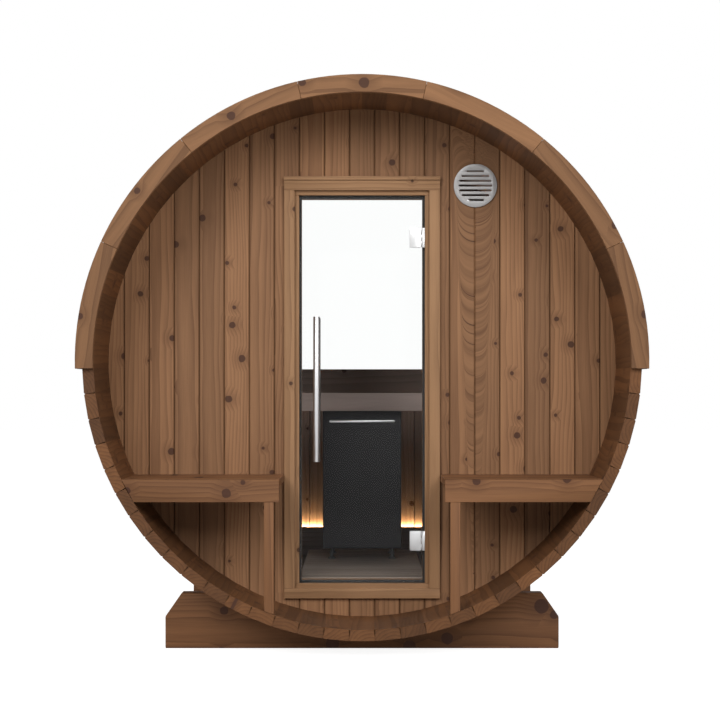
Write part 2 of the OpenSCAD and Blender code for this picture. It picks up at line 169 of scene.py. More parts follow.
def bevel_where(piece: bpy.types.Object, width: float, chosen) -> None:
    """Bevels the edges that a test picks.

    Args:
        piece: The piece to shape.
        width: The width of the bevel.
        chosen: A test on the two ends of an edge.
    """
    select_only(piece)
    mesh = piece.data
    bpy.ops.object.mode_set(mode="EDIT")
    bpy.ops.mesh.select_mode(type="EDGE")
    bpy.ops.mesh.select_all(action="DESELECT")
    bpy.ops.object.mode_set(mode="OBJECT")
    for edge in mesh.edges:
        ends = [mesh.vertices[v].co for v in edge.vertices]
        edge.select = chosen(*ends)
    bpy.ops.object.mode_set(mode="EDIT")
    bpy.ops.mesh.bevel(offset=width, segments=1)
    bpy.ops.object.mode_set(mode="OBJECT")


def cut_off(piece: bpy.types.Object, point: Vector, outwards: Vector) -> None:
    """Cuts away what lies beyond a plane and closes the cut."""
    select_only(piece)
    bpy.ops.object.mode_set(mode="EDIT")
    bpy.ops.mesh.select_all(action="SELECT")
    bpy.ops.mesh.bisect(plane_co=point, plane_no=outwards, use_fill=True, clear_outer=True)
    bpy.ops.object.mode_set(mode="OBJECT")


def join_as(name: str, parts: list[bpy.types.Object]) -> bpy.types.Object:
    """Joins parts into one piece with this name."""
    select_only(*parts)
    if len(parts) > 1:
        bpy.ops.object.join()
    joined = bpy.context.view_layer.objects.active
    joined.name = name
    joined.data.name = name
    return joined


def softened(node: str, width: float = 0.0015) -> bpy.types.Object:
    """Copies a CAD node, merges its loose triangles and rounds its edges.

    Args:
        node: The node's name.
        width: The width of the rounding.

    Returns:
        The copy, named after the node.
    """
    copy = twin_of(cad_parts[node], node + "_eased")
    copy.data.materials.clear()
    select_only(copy)
    bpy.ops.object.mode_set(mode="EDIT")
    bpy.ops.mesh.select_all(action="SELECT")
    bpy.ops.mesh.remove_doubles(threshold=0.00002)
    bpy.ops.mesh.dissolve_limited(angle_limit=math.radians(1))
    bpy.ops.object.mode_set(mode="OBJECT")
    ease_edges(copy, width)
    return copy


def pane_of(node: str) -> bpy.types.Object:
    """Copies a CAD pane and gives it seamed edges and truly flat faces."""
    pane = softened(node, 0.001)
    select_only(pane)
    bpy.ops.object.shade_flat()
    return pane


def lay_grain(piece: bpy.types.Object, seed: str, along: Vector, across: Vector) -> None:
    """Writes where each point of a board lies in its log, and the board's tone.

    Args:
        piece: The board.
        seed: The board's own seed, so that each board differs.
        along: The direction of the grain.
        across: The direction over the board's face.
    """
    draw = random.Random(seed)
    along, across = Vector(along).normalized(), Vector(across).normalized()
    through = along.cross(across)
    corner = [draw.uniform(-0.045, 0.045), draw.uniform(0.035, 0.1), draw.uniform(0, 40)]
    tone = draw.random()
    mesh = piece.data
    places = np.zeros(len(mesh.vertices) * 3, np.float32)
    mesh.vertices.foreach_get("co", places)
    places = places.reshape(-1, 3)
    middle = (places.max(0) + places.min(0)) / 2
    axes = np.array([across, through, along], np.float32)
    grain = (places - middle) @ axes.T + np.array(corner, np.float32)
    grain[:, 2] += float(Vector(middle.tolist()).dot(along))
    mesh.attributes.new("grain", "FLOAT_VECTOR", "POINT").data.foreach_set("vector", grain.ravel())
    mesh.attributes.new("tone", "FLOAT", "POINT").data.foreach_set(
        "value", np.full(len(mesh.vertices), tone, np.float32)
    )


def paint_shade_where(piece: bpy.types.Object, chosen) -> None:
    """Darkens a board's tone where a test picks its points: painted shade at the bottom of a groove."""
    tones = piece.data.attributes["tone"].data
    for vertex in piece.data.vertices:
        if chosen(vertex.co):
            tones[vertex.index].value = GROOVE_SHADE_TONE


def board(name: str, seed: str, low: Vector, high: Vector, grain: Axis, edge: float = 0.0015) -> bpy.types.Object:
    """Makes a straight board with eased edges and its own grain.

    Args:
        name: The board's name.
        seed: The seed of its grain and tone.
        low: Its lowest corner.
        high: Its highest corner.
        grain: The axis along which its grain runs.
        edge: The width of its eased edges.

    Returns:
        The board.
    """
    made = add_block(name, low, high)
    ease_edges(made, edge)
    grain_of(made, seed, grain)
    return made


def grain_of(piece: bpy.types.Object, seed: str, grain: Axis) -> None:
    """Lays a straight grain along one of the frame's axes."""
    along = Vector([1.0 if i == grain.value else 0.0 for i in range(3)])
    across = Vector((0, 0, 1)) if grain is not Axis.Z else Vector((1, 0, 0))
    lay_grain(piece, seed, along, across)


def hand_over(piece: bpy.types.Object, finish: "Finish", body: Body, *nodes: str) -> bpy.types.Object:
    """Dresses a finished piece, puts it on its body and reports it.

    Args:
        piece: The finished piece.
        finish: Its finish.
        body: The body that it moves with.
        nodes: The CAD nodes that it stands for.

    Returns:
        The piece.
    """
    piece.data.materials.clear()
    piece.data.materials.append(finish.material())
    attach(piece, body.value)
    if nodes:
        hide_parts(*nodes)
    log.info("%s: %d faces", piece.name, len(piece.data.polygons))
    return piece


def dress(node: str, finish: "Finish") -> None:
    """Gives a CAD node that stays as it is its finish."""
    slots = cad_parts[node].data.materials
    slots.clear()
    slots.append(finish.material())
    log.info("%s dressed", node)


# ----------------------------------------------------------------- finishes


class NodeBench:
    """A short way to lay shader nodes of one material."""

    def __init__(self, name: str) -> None:
        """Makes an empty material with an output."""
        self.material = bpy.data.materials.new(name)
        self.material.use_nodes = True
        self.tree = self.material.node_tree
        self.tree.nodes.clear()
        self.output = self.tree.nodes.new("ShaderNodeOutputMaterial")

    def add(self, kind: str, inputs: dict | None = None, **settings) -> bpy.types.Node:
        """Adds a node.

        Args:
            kind: The node's type, without its prefix.
            inputs: Values or output sockets by the input's name or number.
            settings: The node's own properties.

        Returns:
            The node.
        """
        made = self.tree.nodes.new("ShaderNode" + kind)
        for key, value in settings.items():
            setattr(made, key, value)
        for key, value in (inputs or {}).items():
            if isinstance(value, bpy.types.NodeSocket):
                self.tree.links.new(value, made.inputs[key])
            else:
                made.inputs[key].default_value = value
        return made

    def maths(self, operation: str, *values) -> bpy.types.NodeSocket:
        """Adds a math node on up to three values and returns its result."""
        made = self.add("Math", dict(enumerate(values)), operation=operation)
        return made.outputs[0]

    def ramp(self, value, low, high, start=0.0, end=1.0) -> bpy.types.NodeSocket:
        """Maps a value from one range to another, held at its ends."""
        made = self.add("MapRange", {0: value, 1: low, 2: high, 3: start, 4: end}, clamp=True)
        return made.outputs[0]

    def mix(self, share, first, second, blend: str = "MIX") -> bpy.types.NodeSocket:
        """Mixes two colours and returns the result."""
        made = self.add("Mix", {0: share}, data_type="RGBA", blend_type=blend)
        for socket, value in ((made.inputs[6], first), (made.inputs[7], second)):
            if isinstance(value, bpy.types.NodeSocket):
                self.tree.links.new(value, socket)
            else:
                socket.default_value = (*value, 1.0)
        return made.outputs[2]

    def surface(self, inputs: dict, bump=None, strength: float = 0.2, depth: float = 0.001) -> None:
        """Ends the material in a principled shader, with a bump if one is given."""
        shader = self.add("BsdfPrincipled", inputs)
        if bump is not None:
            relief = self.add("Bump", {"Strength": strength, "Distance": depth, "Height": bump})
            self.tree.links.new(relief.outputs[0], shader.inputs["Normal"])
        self.tree.links.new(shader.outputs[0], self.output.inputs[0])


@dataclass(frozen=True)
class Finish:
    """A finish that is made once and shared by its pieces."""

    name: str
    slot: str

    @property
    def label(self) -> str:
        """Returns the name of the finish's material."""
        return self.name + "_finish"

    def material(self) -> bpy.types.Material:
        """Returns the finish's material, made at its first use."""
        found = bpy.data.materials.get(self.label)
        return found or self.make()

    def make(self) -> bpy.types.Material:
        """Makes the material."""
        raise NotImplementedError


@dataclass(frozen=True)
class Wood(Finish):
    """Heat-treated softwood: growth rings, fibres, knots and a tone for each board, which also carries painted shade in
    grooves.
    """

    light: Colour = (0.30, 0.17, 0.095)
    dark: Colour = (0.16, 0.08, 0.042)
    knot: Colour = (0.045, 0.016, 0.009)
    knots: float = 0.55
    spread: float = 0.34
    roughness: float = 0.62
    ring: float = 24.0
    knot_size: float = 0.055

    def make(self) -> bpy.types.Material:
        """Builds rings, fibres and knots on the board's own grain."""
        bench = NodeBench(self.label)
        grain = bench.add("Attribute", attribute_name="grain").outputs["Vector"]
        tone = bench.add("Attribute", attribute_name="tone").outputs["Fac"]
        split = bench.add("SeparateXYZ", {0: grain})
        across, through, along = split.outputs
        flat = bench.add("CombineXYZ", {0: across, 1: along, 2: 0.0}).outputs[0]
        cells = bench.add(
            "TexVoronoi", {"Vector": flat, "Scale": 6.2, "Randomness": 1.0}, voronoi_dimensions="2D"
        )
        chance = bench.add("SeparateColor", {0: cells.outputs["Color"]})
        wobble = bench.add("TexNoise", {"Vector": flat, "Scale": 45.0, "Detail": 1.0})
        spot = bench.maths("MULTIPLY_ADD", wobble.outputs[0], 0.035, cells.outputs["Distance"])
        present = bench.maths("LESS_THAN", chance.outputs[0], self.knots)
        size = bench.maths("MULTIPLY_ADD", chance.outputs[1], self.knot_size, self.knot_size)
        size = bench.maths("MULTIPLY", size, present)
        core = bench.ramp(bench.maths("SUBTRACT", spot, size), -0.012, 0.004, 1.0, 0.0)
        core = bench.maths("MULTIPLY", core, present)
        halo = bench.ramp(bench.maths("DIVIDE", spot, bench.maths("ADD", size, 0.001)), 1.0, 3.2, 1.0, 0.0)
        halo = bench.maths("MULTIPLY", halo, present)
        slow = bench.add("Mapping", {"Vector": grain, "Scale": (7.0, 7.0, 1.1)}).outputs[0]
        drift = bench.add("TexNoise", {"Vector": slow, "Scale": 1.0, "Detail": 2.0}).outputs[0]
        sway = bench.maths("MULTIPLY_ADD", drift, 0.075, bench.maths("MULTIPLY", halo, 0.016))
        bent = bench.add(
            "CombineXYZ",
            {0: bench.maths("ADD", across, sway), 1: through, 2: bench.maths("MULTIPLY", along, 0.012)},
        ).outputs[0]
        rings = bench.add(
            "TexWave",
            {"Vector": bent, "Scale": self.ring, "Distortion": 1.2, "Detail": 2.0, "Detail Scale": 1.6},
            wave_type="RINGS",
            rings_direction="Z",
            wave_profile="SAW",
        ).outputs["Fac"]
        late = bench.maths("POWER", rings, 2.2)
        thin = bench.add("Mapping", {"Vector": grain, "Scale": (420.0, 420.0, 9.0)}).outputs[0]
        fibre = bench.add("TexNoise", {"Vector": thin, "Scale": 1.0, "Detail": 3.0}).outputs[0]
        broad = bench.add("Mapping", {"Vector": grain, "Scale": (30.0, 30.0, 2.2)}).outputs[0]
        streak = bench.add("TexNoise", {"Vector": broad, "Scale": 1.0, "Detail": 2.0}).outputs[0]
        shade = bench.maths("MULTIPLY_ADD", late, 0.55, bench.maths("MULTIPLY", fibre, 0.55))
        shade = bench.maths("MULTIPLY_ADD", streak, 0.75, bench.maths("ADD", shade, -0.48))
        colour = bench.mix(bench.ramp(shade, 0.0, 1.0), self.light, self.dark)
        # The tone sets each board's brightness; where it is set low in the grooves, it is painted shade.
        value = bench.maths("MULTIPLY_ADD", tone, self.spread, 1.0 - self.spread / 2)
        tint = bench.add("CombineColor", {0: value, 1: value, 2: value}).outputs[0]
        colour = bench.mix(1.0, colour, tint, "MULTIPLY")
        colour = bench.mix(bench.maths("MULTIPLY", halo, 0.45), colour, self.dark)
        colour = bench.mix(bench.maths("MULTIPLY", core, 0.85), colour, self.knot)
        relief = bench.maths("MULTIPLY_ADD", late, -0.5, fibre)
        inputs = {"Base Color": colour, "Roughness": self.roughness, "Specular IOR Level": 0.22}
        bench.surface(inputs, relief, 0.22, 0.0012)
        return bench.material


@dataclass(frozen=True)
class Metal(Finish):
    """Metal with fine brushing along one axis."""

    colour: Colour = (0.6, 0.6, 0.6)
    roughness: float = 0.3
    brushing: Colour = (40.0, 900.0, 900.0)
    metallic: float = 1.0

    def make(self) -> bpy.types.Material:
        """Builds the brushed metal on object coordinates."""
        bench = NodeBench(self.label)
        place = bench.add("TexCoord").outputs["Object"]
        stretched = bench.add("Mapping", {"Vector": place, "Scale": self.brushing}).outputs[0]
        lines = bench.add("TexNoise", {"Vector": stretched, "Scale": 1.0, "Detail": 2.0}).outputs[0]
        cloud = bench.add("TexNoise", {"Vector": place, "Scale": 9.0}).outputs[0]
        colour = bench.mix(bench.ramp(cloud, 0.3, 0.7, 0.0, 0.12), self.colour, (0.25, 0.25, 0.26))
        rough = bench.ramp(lines, 0.2, 0.8, self.roughness - 0.05, self.roughness + 0.08)
        inputs = {"Base Color": colour, "Roughness": rough, "Metallic": self.metallic}
        bench.surface(inputs, lines, 0.06, 0.0003)
        return bench.material


@dataclass(frozen=True)
class Grainy(Finish):
    """A matt surface with a fine, speckled grain, such as enamel, stone or mineral granules."""

    colour: Colour = (0.02, 0.02, 0.02)
    speck: Colour = (0.05, 0.05, 0.05)
    scale: float = 600.0
    roughness: float = 0.6
    relief: float = 0.25
    depth: float = 0.0006

    def make(self) -> bpy.types.Material:
        """Builds the speckled surface on object coordinates."""
        bench = NodeBench(self.label)
        place = bench.add("TexCoord").outputs["Object"]
        fine = bench.add("TexNoise", {"Vector": place, "Scale": self.scale, "Detail": 3.0}).outputs[0]
        patch = bench.add("TexNoise", {"Vector": place, "Scale": 7.0, "Detail": 2.0}).outputs[0]
        share = bench.maths("MULTIPLY", bench.ramp(fine, 0.45, 0.7), bench.ramp(patch, 0.2, 0.8, 0.6, 1.0))
        colour = bench.mix(share, self.colour, self.speck)
        inputs = {"Base Color": colour, "Roughness": self.roughness}
        bench.surface(inputs, fine, self.relief, self.depth)
        return bench.material


@dataclass(frozen=True)
class Glass(Finish):
    """Clear float glass whose faint tint varies hardly at all."""

    colour: Colour = (0.993, 0.997, 0.995)
    edge: Colour = (0.997, 0.999, 0.998)
    ior: float = 1.14

    def make(self) -> bpy.types.Material:
        """Builds the clear glass."""
        bench = NodeBench(self.label)
        place = bench.add("TexCoord").outputs["Object"]
        cloud = bench.add("TexNoise", {"Vector": place, "Scale": 2.0}).outputs[0]
        tint = bench.mix(cloud, self.colour, self.edge)
        clear = bench.add("BsdfTransparent", {"Color": tint})
        gloss = bench.add("BsdfGlossy", {"Color": (1, 1, 1, 1), "Roughness": 0.02})
        share = bench.add("Fresnel", {"IOR": self.ior}).outputs[0]
        pane = bench.add("MixShader", {0: share, 1: clear.outputs[0], 2: gloss.outputs[0]})
        bench.tree.links.new(pane.outputs[0], bench.output.inputs[0])
        return bench.material


@dataclass(frozen=True)
class Glow(Finish):
    """A lit diffuser with the even row of its lamps showing through."""

    colour: Colour = (1.0, 0.62, 0.25)
    strength: float = 14.0

    def make(self) -> bpy.types.Material:
        """Builds the lit diffuser."""
        bench = NodeBench(self.label)
        place = bench.add("TexCoord").outputs["Object"]
        across = bench.add("SeparateXYZ", {0: place}).outputs[0]
        row = bench.maths("SINE", bench.maths("MULTIPLY", across, 2 * math.pi / 0.0166))
        lamps = bench.ramp(row, -1.0, 1.0, 0.8, 1.0)
        tint = bench.mix(lamps, (0.9, 0.45, 0.12), self.colour)
        inputs = {
            "Base Color": tint,
            "Roughness": 0.4,
            "Emission Color": tint,
            "Emission Strength": self.strength,
        }
        bench.surface(inputs)
        return bench.material


# The staves are painted far darker than the wall boards: painted shade, standing in for the shadow inside the porch.
STAVE_SHADED = Wood("stave_wood", "stave_wood", light=(0.15, 0.063, 0.023), dark=(0.06, 0.023, 0.008), spread=0.75)
WALL = Wood("wall_wood", "wall_wood", light=(0.32, 0.163, 0.078), dark=(0.145, 0.066, 0.03))
TRIM = Wood("frame_wood", "frame_wood", light=(0.36, 0.2, 0.1), dark=(0.19, 0.098, 0.046), knots=0.12, spread=0.12)
FASCIA = Wood("fascia_wood", "fascia_wood", light=(0.27, 0.133, 0.06), dark=(0.12, 0.054, 0.023), knots=0.55, knot_size=0.085)
BENCH = Wood("bench_wood", "bench_wood", light=(0.26, 0.12, 0.052), dark=(0.115, 0.048, 0.021), knots=0.6, knot_size=0.08)
CRADLE = Wood("cradle_wood", "cradle_wood", light=(0.24, 0.108, 0.046), dark=(0.09, 0.036, 0.015), knots=0.6, knot_size=0.1)
REAR = Wood("rear_wood", "rear_wood", light=(0.28, 0.205, 0.17), dark=(0.15, 0.105, 0.085), knots=0.4)
# The guard shares the rear wood's slot but is painted much lighter: painted light on the rear wood.
GUARD_LIT = Wood("guard_wood", "rear_wood", light=(0.5, 0.4, 0.36), dark=(0.28, 0.21, 0.185), knots=0.2)
FLOOR = Wood("floor_wood", "floor_wood", light=(0.36, 0.29, 0.24), dark=(0.2, 0.15, 0.125), knots=0.1)
STEEL = Metal("satin_steel", "hinge_steel", colour=(0.5, 0.5, 0.5), roughness=0.36, brushing=(900.0, 900.0, 30.0))
HOOP = Metal("hoop_steel", "hoop_steel", colour=(0.62, 0.62, 0.63), roughness=0.34)
VENT = Metal("vent_metal", "vent_metal", colour=(0.34, 0.33, 0.325), roughness=0.45, metallic=0.35)
TRIM_BAR = Metal("trim_steel", "trim_steel", colour=(0.75, 0.75, 0.75), roughness=0.35)
FOOT = Metal("foot_steel", "foot_steel", colour=(0.07, 0.07, 0.07), roughness=0.5)
SEAL = Grainy("seal_rubber", "seal_rubber", colour=(0.008, 0.008, 0.008), speck=(0.016, 0.016, 0.016), roughness=0.7)
ENAMEL = Grainy("heater_enamel", "heater_enamel", colour=(0.018, 0.017, 0.02), speck=(0.026, 0.025, 0.028))
STONE = Grainy("heater_stone", "heater_stone", colour=(0.11, 0.105, 0.1), speck=(0.26, 0.25, 0.24), scale=130.0, depth=0.003)
SHINGLE = Grainy("roofing_felt", "roofing_felt", colour=(0.018, 0.018, 0.02), speck=(0.085, 0.085, 0.09), roughness=0.92)
PANE = Glass("clear_glass", "clear_glass")
GLOW = Glow("light_diffuser", "light_diffuser")


# ------------------------------------------------------------------- barrel


@dataclass
class Barrel:
    """The ring of staves, the curved boards at its ends and its roof."""

    stave_t: float = 0.042
    staves: int = 67
    notch: float = 0.004
    inner_ease: float = 0.0018
    fascia_parts: int = 7
    fascia_gap: float = 0.0007
    course: float = 0.141
    tab: float = 0.164
    shingle_t: float = 0.004

    def __post_init__(self) -> None:
        """Reads the barrel's sizes from the frame."""
        low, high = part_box("fascia_front")
        self.fascia_r = (high.x - low.x) / 2
        self.axis = high.z - self.fascia_r
        self.fascia_end = low.z
        self.outer = self.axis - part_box("staves_bottom")[0].z
        self.inner = self.outer - self.stave_t
        self.front, self.back = (corner.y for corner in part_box("staves_bottom"))

    def turn(self, angle: float) -> Matrix:
        """Returns the turn by an angle round the barrel's axis, clockwise from the front."""
        home = Matrix.Translation((0, 0, self.axis))
        return home @ Matrix.Rotation(angle, 4, "Y") @ home.inverted()

    def model_stave(self) -> bpy.types.Object:
        """Models the stave at the top: a wedge with notched outer and eased inner edges."""
        half = math.tan(math.pi / self.staves)
        floor, face = self.axis + self.inner, self.axis + self.outer
        stave = add_block("stave", (-half * self.inner, self.front, floor), (half * self.inner, self.back, face))
        select_only(stave)
        middle = (floor + face) / 2
        for vertex in stave.data.vertices:
            vertex.select = vertex.co.z > middle
        bpy.ops.object.mode_set(mode="EDIT")
        bpy.ops.transform.resize(value=(self.outer / self.inner, 1, 1), center_override=(0, 0, face))
        bpy.ops.object.mode_set(mode="OBJECT")
        lengthwise = self.back - self.front - 0.001
        bevel_where(stave, self.notch, lambda a, b: abs(a.y - b.y) > lengthwise and a.z > middle)
        bevel_where(stave, self.inner_ease, lambda a, b: abs(a.y - b.y) > lengthwise and a.z < floor + 0.001)
        return stave

    def build_staves(self) -> None:
        """Lays the staves of each segment and stands them for the CAD segments."""
        template = self.model_stave()
        step = 2 * math.pi / self.staves
        groups = {"staves_right_upper": range(0, 10), "staves_right_middle": range(10, 20)}
        groups |= {"staves_right_lower": range(20, 30), "staves_bottom": range(30, 37)}
        groups |= {"staves_left_lower": range(37, 47), "staves_left_middle": range(47, 57)}
        groups |= {"staves_left_upper": range(57, 67)}
        for node, numbers in groups.items():
            parts = []
            for number in numbers:
                stave = twin_of(template, f"stave_{number}")
                lay_grain(stave, f"stave {number}", (0, 1, 0), (1, 0, 0))
                stave.data.transform(self.turn((number + 0.5) * step))
                parts.append(stave)
            hand_over(join_as(node + "_boards", parts), STAVE_SHADED, Body.CABIN, node)
        bpy.data.objects.remove(template)

    def curved_board(self, name: str, middle: float, span: float, radii: Colour, ends: Colour) -> bpy.types.Object:
        """Makes one curved board by spinning its section round the barrel's axis.

        Args:
            name: The board's name.
            middle: The angle of its middle from the top.
            span: The angle that it covers.
            radii: Its inner and outer radius.
            ends: Its first and last place along the barrel.

        Returns:
            The board, with a straight grain along its chord.
        """
        bpy.ops.object.select_all(action="DESELECT")
        centre = (0, (ends[0] + ends[1]) / 2, self.axis + (radii[0] + radii[1]) / 2)
        bpy.ops.mesh.primitive_plane_add(size=1, location=centre, rotation=(0, math.pi / 2, 0))
        section = bpy.context.active_object
        section.name = name
        section.scale = (radii[1] - radii[0], ends[1] - ends[0], 1)
        bpy.ops.object.transform_apply(location=True, rotation=True, scale=True)
        section.data.transform(self.turn(-span / 2))
        bpy.ops.object.mode_set(mode="EDIT")
        bpy.ops.mesh.select_all(action="SELECT")
        bpy.ops.mesh.spin(steps=12, angle=span, center=(0, 0, self.axis), axis=(0, 1, 0))
        bpy.ops.mesh.select_all(action="SELECT")
        bpy.ops.mesh.remove_doubles(threshold=0.00001)
        bpy.ops.mesh.normals_make_consistent(inside=False)
        bpy.ops.object.mode_set(mode="OBJECT")
        turned = max(v.co.x for v in section.data.vertices)
        if turned < abs(min(v.co.x for v in section.data.vertices)) * 0.5:
            section.data.transform(self.turn(span))
        lay_grain(section, name, (1, 0, 0), (0, 0, 1))
        section.data.transform(self.turn(middle))
        return section

    def build_arch(self, node: str, finish: Wood, inner: float, outer: float, parts: int, lowest: float) -> None:
        """Builds a half ring of curved boards and stands it for a CAD arch.

        Args:
            node: The CAD arch.
            finish: Its wood.
            inner: Its inner radius.
            outer: Its outer radius.
            parts: The number of boards.
            lowest: The height at which its ends are cut level.
        """
        low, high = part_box(node)
        half = math.acos((lowest - self.axis) / outer)
        span = 2 * half / parts
        gap = self.fascia_gap / outer
        boards = []
        for number in range(parts):
            middle = (number + 0.5) * span - half
            made = self.curved_board(f"{node}_{number}", middle, span - gap, (inner, outer), (low.y, high.y))
            cut_off(made, Vector((0, 0, lowest)), Vector((0, 0, -1)))
            ease_edges(made, 0.0018)
            boards.append(made)
        hand_over(join_as(node + "_boards", boards), finish, Body.CABIN, node)

    def build_shingles(self) -> None:
        """Laps rows of shingles from both eaves up to the ridge."""
        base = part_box("roofing")[1].z
        radius = base - self.axis + 0.0006
        step = self.course / (radius + self.shingle_t)
        rows = int((math.pi / 2 + 0.027) / step)
        lift = Matrix.Rotation(math.atan(self.shingle_t / self.course), 4, "Y")
        high = self.axis + radius
        for side, name in ((1, "right"), (-1, "left")):
            tabs = []
            for row in range(rows):
                y = self.front + 0.001 - (self.tab / 2 if row % 2 else 0)
                while y < self.back - 0.002:
                    start, end = max(y, self.front + 0.001), min(y + self.tab, self.back - 0.001) - 0.004
                    y += self.tab
                    if end - start < 0.01:
                        continue
                    half = self.course / 2 + 0.004
                    tab = add_block("tab", (-half, start, 0), (half, end, self.shingle_t))
                    tab.data.transform(lift.inverted() if side > 0 else lift)
                    tab.data.transform(Matrix.Translation((0, 0, high)))
                    tab.data.transform(self.turn(side * (row + 0.5) * step))
                    tabs.append(tab)
            piece = join_as("shingles_" + name, tabs)
            hand_over(piece, SHINGLE, Body.CABIN)
        half = 0.11
        ridge = add_block("ridge_shingles", (-half, self.front + 0.002, 0), (half, self.back - 0.002, self.shingle_t))
        ridge.data.transform(Matrix.Translation((0, 0, high + self.shingle_t * 0.2)))
        hand_over(ridge, SHINGLE, Body.CABIN)

    def build(self) -> None:
        """Builds staves, fascias, the rear window's arch and the roof."""
        self.build_staves()
        for node in ("fascia_front", "fascia_rear"):
            self.build_arch(node, FASCIA, self.inner, self.fascia_r, self.fascia_parts, self.fascia_end)
        arch_inner = self.inner - 0.06
        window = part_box("rear_window_glass")[0].z
        self.build_arch("rear_window_arch", REAR, arch_inner, self.inner + 0.012, 5, window)
        self.build_shingles()
        dress("roofing", SHINGLE)
        dress("hoops", HOOP)


# ---------------------------------------------------------------- end walls


@dataclass
class EndWalls:
    """The vertical boards of both end walls, cut to the barrel."""

    barrel: Barrel
    pitch: float = 0.0992
    groove: float = 0.0042
    reach: float = 0.017

    def column(self, name: str, seed: str, span: Colour, heights: Colour, depth: Colour) -> bpy.types.Object:
        """Makes a stretch of one vertical board, its ends cut to the barrel where they reach it.

        Args:
            name: The board's name.
            seed: The seed of the whole column's grain.
            span: Its left and right side.
            heights: Its lowest and highest point.
            depth: Its front and back face.

        Returns:
            The board.
        """
        made = add_block(name, (span[0], depth[0], heights[0]), (span[1], depth[1], heights[1]))
        tall = heights[1] - heights[0] - 0.001
        bevel_where(made, self.groove, lambda a, b: abs(a.z - b.z) > tall)
        radius = self.barrel.inner + self.reach
        drops = [math.sqrt(max(radius**2 - x**2, 0)) for x in span]
        for sign in (1, -1):
            start = Vector((span[0], 0, self.barrel.axis + sign * drops[0]))
            end = Vector((span[1], 0, self.barrel.axis + sign * drops[1]))
            along = end - start
            outwards = Vector((-along.z, 0, along.x)) * sign
            cut_off(made, start, outwards)
        lay_grain(made, seed, (0, 0, 1), (1, 0, 0))
        # Painted shade: the board's tone goes dark along both its sides, deep in the grooves.
        paint_shade_where(made, lambda at: min(abs(at.x - side) for side in span) < 0.0002)
        return made

    def build_wall(self, node: str, finish: Wood, rows: dict) -> None:
        """Builds the boards that lie in one CAD wall piece.

        Args:
            node: The CAD wall piece.
            finish: Its wood.
            rows: The columns of this piece, each with its parts' sides and heights.
        """
        low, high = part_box(node)
        parts = []
        for (number, part), (span, heights) in rows.items():
            seed = f"{finish.name} column {number}"
            made = self.column(f"{node}_{number}_{part}", seed, span, heights, (low.y, high.y))
            if node == "front_wall_right":
                self.cut_duct(made)
            parts.append(made)
        piece = join_as(node + "_boards", parts)
        hand_over(piece, finish, Body.CABIN, node)

    def cut_duct(self, piece: bpy.types.Object) -> None:
        """Cuts the round duct behind the vent grille."""
        low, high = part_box("vent_grille")
        middle = (low + high) / 2
        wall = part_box("front_wall_right")
        radius = (high.x - low.x) / 2 - 0.0105
        places = [v.co for v in piece.data.vertices]
        beside = min(c.x for c in places) > middle.x + radius or max(c.x for c in places) < middle.x - radius
        if beside or max(c.z for c in places) < middle.z + radius:
            return
        select_only(piece)
        bpy.ops.object.mode_set(mode="EDIT")
        bpy.ops.mesh.select_all(action="SELECT")
        bpy.ops.mesh.normals_make_consistent(inside=False)
        bpy.ops.object.mode_set(mode="OBJECT")
        drill = add_rod("drill", radius, (middle.x, wall[0].y - 0.02, middle.z), (middle.x, wall[1].y + 0.02, middle.z))
        finish_with(piece, "BOOLEAN", object=drill, operation="DIFFERENCE", solver="EXACT")
        bpy.data.objects.remove(drill)

    def build(self) -> None:
        """Sorts the columns into the CAD wall pieces and builds them."""
        top, bottom = self.barrel.axis + self.barrel.outer, 0.0
        low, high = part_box("frame_sill")[0].z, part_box("frame_head")[1].z
        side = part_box("frame_head")[1].x
        edge = self.barrel.inner + self.reach - 0.008
        walls = {"front_wall_left": {}, "front_wall_right": {}}
        walls |= {"front_wall_over_door": {}, "front_wall_under_door": {}}
        rear = {}
        rear_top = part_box("rear_wall")[1].z
        count = int(edge / self.pitch) + 1
        for number in range(-count, count + 1):
            span = [max(min(number * self.pitch + half, edge), -edge) for half in (-self.pitch / 2, self.pitch / 2)]
            if span[1] - span[0] < 0.01:
                continue
            rear[(number, "")] = (span, (bottom, rear_top))
            over, under = (high, top), (bottom, low)
            if abs(number * self.pitch) + self.pitch / 2 < side:
                walls["front_wall_over_door"][(number, "over")] = (span, over)
                walls["front_wall_under_door"][(number, "under")] = (span, under)
                continue
            where = walls["front_wall_right" if number > 0 else "front_wall_left"]
            if min(abs(span[0]), abs(span[1])) < side:
                inner = [max(x, side) for x in span] if number > 0 else [min(x, -side) for x in span]
                where[(number, "over")] = (span, over)
                where[(number, "beside")] = (inner, (low, high))
                where[(number, "under")] = (span, under)
            else:
                where[(number, "")] = (span, (bottom, top))
        for node, rows in walls.items():
            self.build_wall(node, WALL, rows)
        self.build_wall("rear_wall", REAR, rear)
        board_low, board_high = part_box("rear_window_board")
        sill = board("rear_board", "rear board", board_low, board_high, Axis.X)
        hand_over(sill, REAR, Body.CABIN, "rear_window_board")
        grille = softened("vent_grille", 0.0012)
        hand_over(grille, VENT, Body.CABIN, "vent_grille")


# --------------------------------------------------------------------- door


